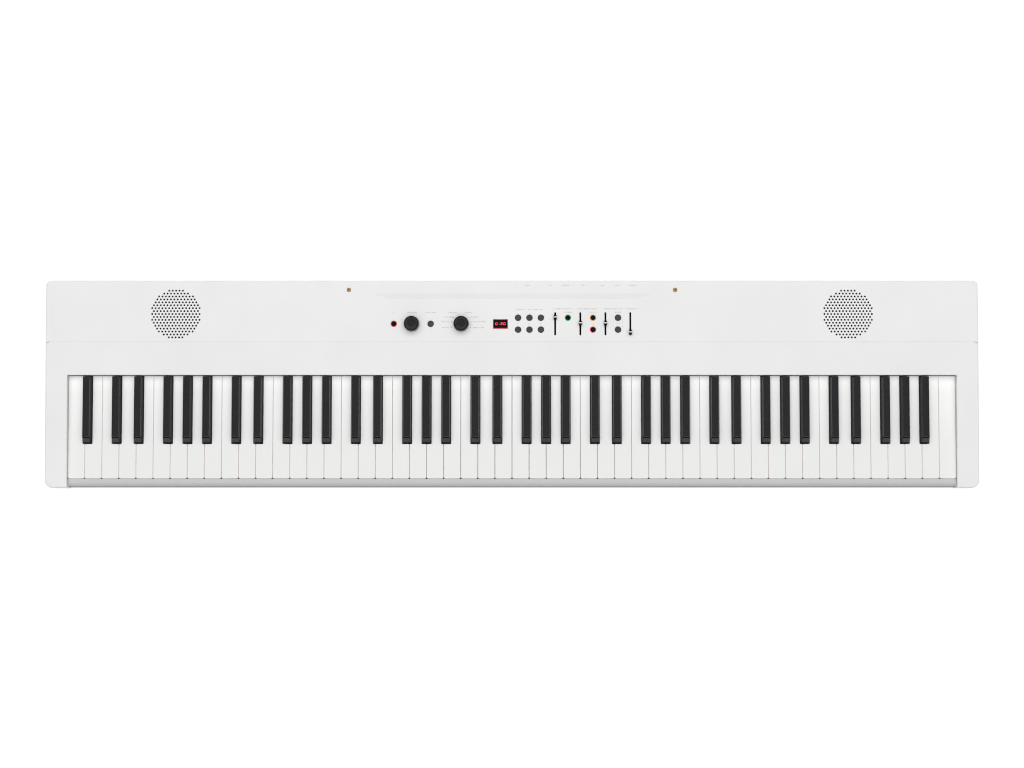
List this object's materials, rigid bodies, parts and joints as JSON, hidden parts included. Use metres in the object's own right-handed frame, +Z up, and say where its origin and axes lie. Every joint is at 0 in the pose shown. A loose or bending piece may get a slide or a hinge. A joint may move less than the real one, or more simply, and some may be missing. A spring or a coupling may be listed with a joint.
{
  "type": "digital piano",
  "caption": "Slim white digital piano keyboard for a table or stand, with hinged keys, two knobs, four sliders, push buttons, grilles for its speakers and rubber feet.",
  "frame": {"origin": "on the resting surface, at the middle of the plan", "axes": "+X to the player's right along the keyboard, +Y from the player towards the back, +Z up"},
  "size_m": [1.282, 0.2872, 0.073],
  "materials": {
    "shell": "satin white",
    "rail": "satin light grey",
    "white_key": "satin ivory white",
    "black_key": "matte top with glossy front",
    "knob": "satin charcoal",
    "button": "matte dark grey",
    "lit_button": "black with a lit ring",
    "brass": "satin",
    "frame": "moulded dark grey",
    "board": "green circuit board",
    "speaker": "dark paper cone",
    "display": "dark red window",
    "rubber": "matte"
  },
  "bodies": {
    "housing": {"bottom_case": "shell", "top_cover": "shell", "key_surround": "shell", "front_rail": "rail", "key_chassis": "frame", "key_contact_board": "board", "main_circuit_board": "board", "speaker_left": "speaker", "speaker_right": "speaker", "display_module": "display", "rear_jack_block": "frame", "rest_socket_left": "brass", "rest_socket_right": "brass", "foot_front_left": "rubber", "foot_front_right": "rubber", "foot_rear_left": "rubber", "foot_rear_right": "rubber"},
    "volume_knob": {"volume_knob": "knob"},
    "selector_knob": {"selector_knob": "knob"},
    "slider_1": {"slider_1": "knob"},
    "slider_2": {"slider_2": "knob"},
    "slider_3": {"slider_3": "knob"},
    "slider_4": {"slider_4": "knob"},
    "power_button": {"power_button": "lit_button"},
    "function_button": {"function_button": "button"},
    "effect_button": {"effect_button": "lit_button"},
    "metronome_button": {"metronome_button": "lit_button"},
    "record_button": {"record_button": "lit_button"},
    "octave_up_button": {"octave_up_button": "button"},
    "octave_down_button": {"octave_down_button": "button"},
    "select_button_1": {"select_button_1": "button"},
    "select_button_2": {"select_button_2": "button"},
    "select_button_3": {"select_button_3": "button"},
    "select_button_4": {"select_button_4": "button"},
    "select_button_5": {"select_button_5": "button"},
    "select_button_6": {"select_button_6": "button"},
    "white_keys_1": {"white_keys_1": "white_key"},
    "black_keys_1": {"black_keys_1": "black_key"},
    "white_keys_2": {"white_keys_2": "white_key"},
    "black_keys_2": {"black_keys_2": "black_key"},
    "white_keys_3": {"white_keys_3": "white_key"},
    "black_keys_3": {"black_keys_3": "black_key"},
    "key_c4": {"key_c4": "white_key"},
    "key_c_sharp_4": {"key_c_sharp_4": "black_key"},
    "key_d4": {"key_d4": "white_key"},
    "key_d_sharp_4": {"key_d_sharp_4": "black_key"},
    "key_e4": {"key_e4": "white_key"},
    "key_f4": {"key_f4": "white_key"},
    "key_f_sharp_4": {"key_f_sharp_4": "black_key"},
    "key_g4": {"key_g4": "white_key"},
    "key_g_sharp_4": {"key_g_sharp_4": "black_key"},
    "key_a4": {"key_a4": "white_key"},
    "key_a_sharp_4": {"key_a_sharp_4": "black_key"},
    "key_b4": {"key_b4": "white_key"},
    "white_keys_5": {"white_keys_5": "white_key"},
    "black_keys_5": {"black_keys_5": "black_key"},
    "white_keys_6": {"white_keys_6": "white_key"},
    "black_keys_6": {"black_keys_6": "black_key"},
    "white_keys_7": {"white_keys_7": "white_key"},
    "black_keys_7": {"black_keys_7": "black_key"}
  },
  "joints": [
    {"name": "volume_turn", "type": "hinge", "parent": "housing", "child": "volume_knob", "pos_m": [-0.1379, 0.0818, 0.067], "axis": [0, 0, -1], "range_deg": [-140, 140]},
    {"name": "selector_turn", "type": "hinge", "parent": "housing", "child": "selector_knob", "pos_m": [-0.0699, 0.0818, 0.067], "axis": [0, 0, -1], "range_deg": [-112, 112]},
    {"name": "slider_1_slide", "type": "slide", "parent": "housing", "child": "slider_1", "axis": [0, 1, 0], "range_m": [-0.0213, 0.0037]},
    {"name": "slider_2_slide", "type": "slide", "parent": "housing", "child": "slider_2", "axis": [0, 1, 0], "range_m": [-0.0132, 0.0118]},
    {"name": "slider_3_slide", "type": "slide", "parent": "housing", "child": "slider_3", "axis": [0, 1, 0], "range_m": [-0.0132, 0.0118]},
    {"name": "slider_4_slide", "type": "slide", "parent": "housing", "child": "slider_4", "axis": [0, 1, 0], "range_m": [-0.0007, 0.0243]},
    {"name": "power_press", "type": "slide", "parent": "housing", "child": "power_button", "axis": [0, 0, -1], "range_m": [0, 0.001], "stiffness_N_per_m": 800, "springref_m": -0.0012},
    {"name": "function_press", "type": "slide", "parent": "housing", "child": "function_button", "axis": [0, 0, -1], "range_m": [0, 0.001], "stiffness_N_per_m": 800, "springref_m": -0.0012},
    {"name": "effect_press", "type": "slide", "parent": "housing", "child": "effect_button", "axis": [0, 0, -1], "range_m": [0, 0.001], "stiffness_N_per_m": 800, "springref_m": -0.0012},
    {"name": "metronome_press", "type": "slide", "parent": "housing", "child": "metronome_button", "axis": [0, 0, -1], "range_m": [0, 0.001], "stiffness_N_per_m": 800, "springref_m": -0.0012},
    {"name": "record_press", "type": "slide", "parent": "housing", "child": "record_button", "axis": [0, 0, -1], "range_m": [0, 0.001], "stiffness_N_per_m": 800, "springref_m": -0.0012},
    {"name": "octave_up_press", "type": "slide", "parent": "housing", "child": "octave_up_button", "axis": [0, 0, -1], "range_m": [0, 0.001], "stiffness_N_per_m": 800, "springref_m": -0.0012},
    {"name": "octave_down_press", "type": "slide", "parent": "housing", "child": "octave_down_button", "axis": [0, 0, -1], "range_m": [0, 0.001], "stiffness_N_per_m": 800, "springref_m": -0.0012},
    {"name": "select_1_press", "type": "slide", "parent": "housing", "child": "select_button_1", "axis": [0, 0, -1], "range_m": [0, 0.001], "stiffness_N_per_m": 800, "springref_m": -0.0012},
    {"name": "select_2_press", "type": "slide", "parent": "housing", "child": "select_button_2", "axis": [0, 0, -1], "range_m": [0, 0.001], "stiffness_N_per_m": 800, "springref_m": -0.0012},
    {"name": "select_3_press", "type": "slide", "parent": "housing", "child": "select_button_3", "axis": [0, 0, -1], "range_m": [0, 0.001], "stiffness_N_per_m": 800, "springref_m": -0.0012},
    {"name": "select_4_press", "type": "slide", "parent": "housing", "child": "select_button_4", "axis": [0, 0, -1], "range_m": [0, 0.001], "stiffness_N_per_m": 800, "springref_m": -0.0012},
    {"name": "select_5_press", "type": "slide", "parent": "housing", "child": "select_button_5", "axis": [0, 0, -1], "range_m": [0, 0.001], "stiffness_N_per_m": 800, "springref_m": -0.0012},
    {"name": "select_6_press", "type": "slide", "parent": "housing", "child": "select_button_6", "axis": [0, 0, -1], "range_m": [0, 0.001], "stiffness_N_per_m": 800, "springref_m": -0.0012},
    {"name": "white_keys_1_press", "type": "hinge", "parent": "housing", "child": "white_keys_1", "pos_m": [0, 0.09, 0.04], "axis": [1, 0, 0], "range_deg": [0, 2.6], "stiffness_Nm_per_rad": 18, "springref_deg": -5.16},
    {"name": "black_keys_1_press", "type": "hinge", "parent": "housing", "child": "black_keys_1", "pos_m": [0, 0.09, 0.04], "axis": [1, 0, 0], "range_deg": [0, 2.6], "stiffness_Nm_per_rad": 12, "springref_deg": -5.16},
    {"name": "white_keys_2_press", "type": "hinge", "parent": "housing", "child": "white_keys_2", "pos_m": [0, 0.09, 0.04], "axis": [1, 0, 0], "range_deg": [0, 2.6], "stiffness_Nm_per_rad": 14, "springref_deg": -5.16},
    {"name": "black_keys_2_press", "type": "hinge", "parent": "housing", "child": "black_keys_2", "pos_m": [0, 0.09, 0.04], "axis": [1, 0, 0], "range_deg": [0, 2.6], "stiffness_Nm_per_rad": 10, "springref_deg": -5.16},
    {"name": "white_keys_3_press", "type": "hinge", "parent": "housing", "child": "white_keys_3", "pos_m": [0, 0.09, 0.04], "axis": [1, 0, 0], "range_deg": [0, 2.6], "stiffness_Nm_per_rad": 14, "springref_deg": -5.16},
    {"name": "black_keys_3_press", "type": "hinge", "parent": "housing", "child": "black_keys_3", "pos_m": [0, 0.09, 0.04], "axis": [1, 0, 0], "range_deg": [0, 2.6], "stiffness_Nm_per_rad": 10, "springref_deg": -5.16},
    {"name": "key_c4_press", "type": "hinge", "parent": "housing", "child": "key_c4", "pos_m": [0, 0.09, 0.04], "axis": [1, 0, 0], "range_deg": [0, 2.6], "stiffness_Nm_per_rad": 2, "springref_deg": -5.16},
    {"name": "key_c_sharp_4_press", "type": "hinge", "parent": "housing", "child": "key_c_sharp_4", "pos_m": [0, 0.09, 0.04], "axis": [1, 0, 0], "range_deg": [0, 2.6], "stiffness_Nm_per_rad": 2, "springref_deg": -5.16},
    {"name": "key_d4_press", "type": "hinge", "parent": "housing", "child": "key_d4", "pos_m": [0, 0.09, 0.04], "axis": [1, 0, 0], "range_deg": [0, 2.6], "stiffness_Nm_per_rad": 2, "springref_deg": -5.16},
    {"name": "key_d_sharp_4_press", "type": "hinge", "parent": "housing", "child": "key_d_sharp_4", "pos_m": [0, 0.09, 0.04], "axis": [1, 0, 0], "range_deg": [0, 2.6], "stiffness_Nm_per_rad": 2, "springref_deg": -5.16},
    {"name": "key_e4_press", "type": "hinge", "parent": "housing", "child": "key_e4", "pos_m": [0, 0.09, 0.04], "axis": [1, 0, 0], "range_deg": [0, 2.6], "stiffness_Nm_per_rad": 2, "springref_deg": -5.16},
    {"name": "key_f4_press", "type": "hinge", "parent": "housing", "child": "key_f4", "pos_m": [0, 0.09, 0.04], "axis": [1, 0, 0], "range_deg": [0, 2.6], "stiffness_Nm_per_rad": 2, "springref_deg": -5.16},
    {"name": "key_f_sharp_4_press", "type": "hinge", "parent": "housing", "child": "key_f_sharp_4", "pos_m": [0, 0.09, 0.04], "axis": [1, 0, 0], "range_deg": [0, 2.6], "stiffness_Nm_per_rad": 2, "springref_deg": -5.16},
    {"name": "key_g4_press", "type": "hinge", "parent": "housing", "child": "key_g4", "pos_m": [0, 0.09, 0.04], "axis": [1, 0, 0], "range_deg": [0, 2.6], "stiffness_Nm_per_rad": 2, "springref_deg": -5.16},
    {"name": "key_g_sharp_4_press", "type": "hinge", "parent": "housing", "child": "key_g_sharp_4", "pos_m": [0, 0.09, 0.04], "axis": [1, 0, 0], "range_deg": [0, 2.6], "stiffness_Nm_per_rad": 2, "springref_deg": -5.16},
    {"name": "key_a4_press", "type": "hinge", "parent": "housing", "child": "key_a4", "pos_m": [0, 0.09, 0.04], "axis": [1, 0, 0], "range_deg": [0, 2.6], "stiffness_Nm_per_rad": 2, "springref_deg": -5.16},
    {"name": "key_a_sharp_4_press", "type": "hinge", "parent": "housing", "child": "key_a_sharp_4", "pos_m": [0, 0.09, 0.04], "axis": [1, 0, 0], "range_deg": [0, 2.6], "stiffness_Nm_per_rad": 2, "springref_deg": -5.16},
    {"name": "key_b4_press", "type": "hinge", "parent": "housing", "child": "key_b4", "pos_m": [0, 0.09, 0.04], "axis": [1, 0, 0], "range_deg": [0, 2.6], "stiffness_Nm_per_rad": 2, "springref_deg": -5.16},
    {"name": "white_keys_5_press", "type": "hinge", "parent": "housing", "child": "white_keys_5", "pos_m": [0, 0.09, 0.04], "axis": [1, 0, 0], "range_deg": [0, 2.6], "stiffness_Nm_per_rad": 14, "springref_deg": -5.16},
    {"name": "black_keys_5_press", "type": "hinge", "parent": "housing", "child": "black_keys_5", "pos_m": [0, 0.09, 0.04], "axis": [1, 0, 0], "range_deg": [0, 2.6], "stiffness_Nm_per_rad": 10, "springref_deg": -5.16},
    {"name": "white_keys_6_press", "type": "hinge", "parent": "housing", "child": "white_keys_6", "pos_m": [0, 0.09, 0.04], "axis": [1, 0, 0], "range_deg": [0, 2.6], "stiffness_Nm_per_rad": 14, "springref_deg": -5.16},
    {"name": "black_keys_6_press", "type": "hinge", "parent": "housing", "child": "black_keys_6", "pos_m": [0, 0.09, 0.04], "axis": [1, 0, 0], "range_deg": [0, 2.6], "stiffness_Nm_per_rad": 10, "springref_deg": -5.16},
    {"name": "white_keys_7_press", "type": "hinge", "parent": "housing", "child": "white_keys_7", "pos_m": [0, 0.09, 0.04], "axis": [1, 0, 0], "range_deg": [0, 2.6], "stiffness_Nm_per_rad": 16, "springref_deg": -5.16},
    {"name": "black_keys_7_press", "type": "hinge", "parent": "housing", "child": "black_keys_7", "pos_m": [0, 0.09, 0.04], "axis": [1, 0, 0], "range_deg": [0, 2.6], "stiffness_Nm_per_rad": 10, "springref_deg": -5.16}
  ]
}
